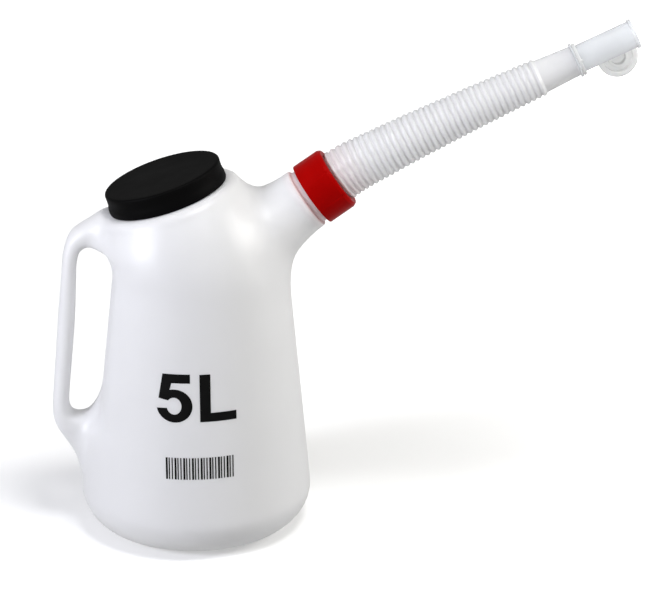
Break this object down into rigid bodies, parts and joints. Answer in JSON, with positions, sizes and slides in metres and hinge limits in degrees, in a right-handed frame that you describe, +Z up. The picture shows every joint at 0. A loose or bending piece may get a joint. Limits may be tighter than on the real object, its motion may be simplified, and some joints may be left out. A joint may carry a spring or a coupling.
{
  "type": "oil measuring jug",
  "caption": "Tall tapered translucent oil jug with a hollow side handle, a leaning press-on filler lid and a corrugated flexible pouring spout held by a union nut, with a tethered closing cap.",
  "frame": {"origin": "on the jug's upright axis, in the plane of the base ring that it stands on", "axes": "+Z up, +X towards the spout, -X towards the handle"},
  "size_m": [0.4778, 0.19, 0.4214],
  "materials": {
    "jug": "translucent satin",
    "lid": "matt, lightly grained",
    "nut": "gloss",
    "spout": "translucent satin",
    "nozzle": "translucent gloss",
    "cap": "translucent gloss"
  },
  "bodies": {
    "jug": {"jug_body": "jug"},
    "lid": {"filler_lid": "lid"},
    "spout": {"flexible_spout": "spout"},
    "nut": {"spout_nut": "nut"},
    "nozzle": {"nozzle": "nozzle"},
    "cap": {"closing_cap": "cap"}
  },
  "joints": [
    {"name": "filler_lid_lift", "type": "slide", "parent": "jug", "child": "lid", "axis": [-0.2957, 0, 0.9553], "range_m": [0, 0.05]},
    {"name": "spout_draw", "type": "slide", "parent": "jug", "child": "spout", "axis": [0.8192, 0, 0.5736], "range_m": [0, 0.01255]},
    {"name": "nut_turn", "type": "hinge", "parent": "spout", "child": "nut", "pos_m": [0.107, 0, 0.2878], "axis": [0.8192, 0, 0.5736], "range_deg": [0, 900]},
    {"name": "hose_bend", "type": "hinge", "parent": "spout", "child": "nozzle", "pos_m": [0.20027, 0, 0.33865], "axis": [0, 1, 0], "range_deg": [-45, 45], "stiffness_Nm_per_rad": 1.5, "deforming": ["flexible_spout"]},
    {"name": "cap_swivel", "type": "hinge", "parent": "nozzle", "child": "cap", "pos_m": [0.31006, 0, 0.38989], "axis": [0.9078, 0, 0.4195], "continuous": true}
  ],
  "couplings": [
    {"joint": "spout_draw", "follows": "nut_turn", "m_per_rad": 0.00079577}
  ]
}
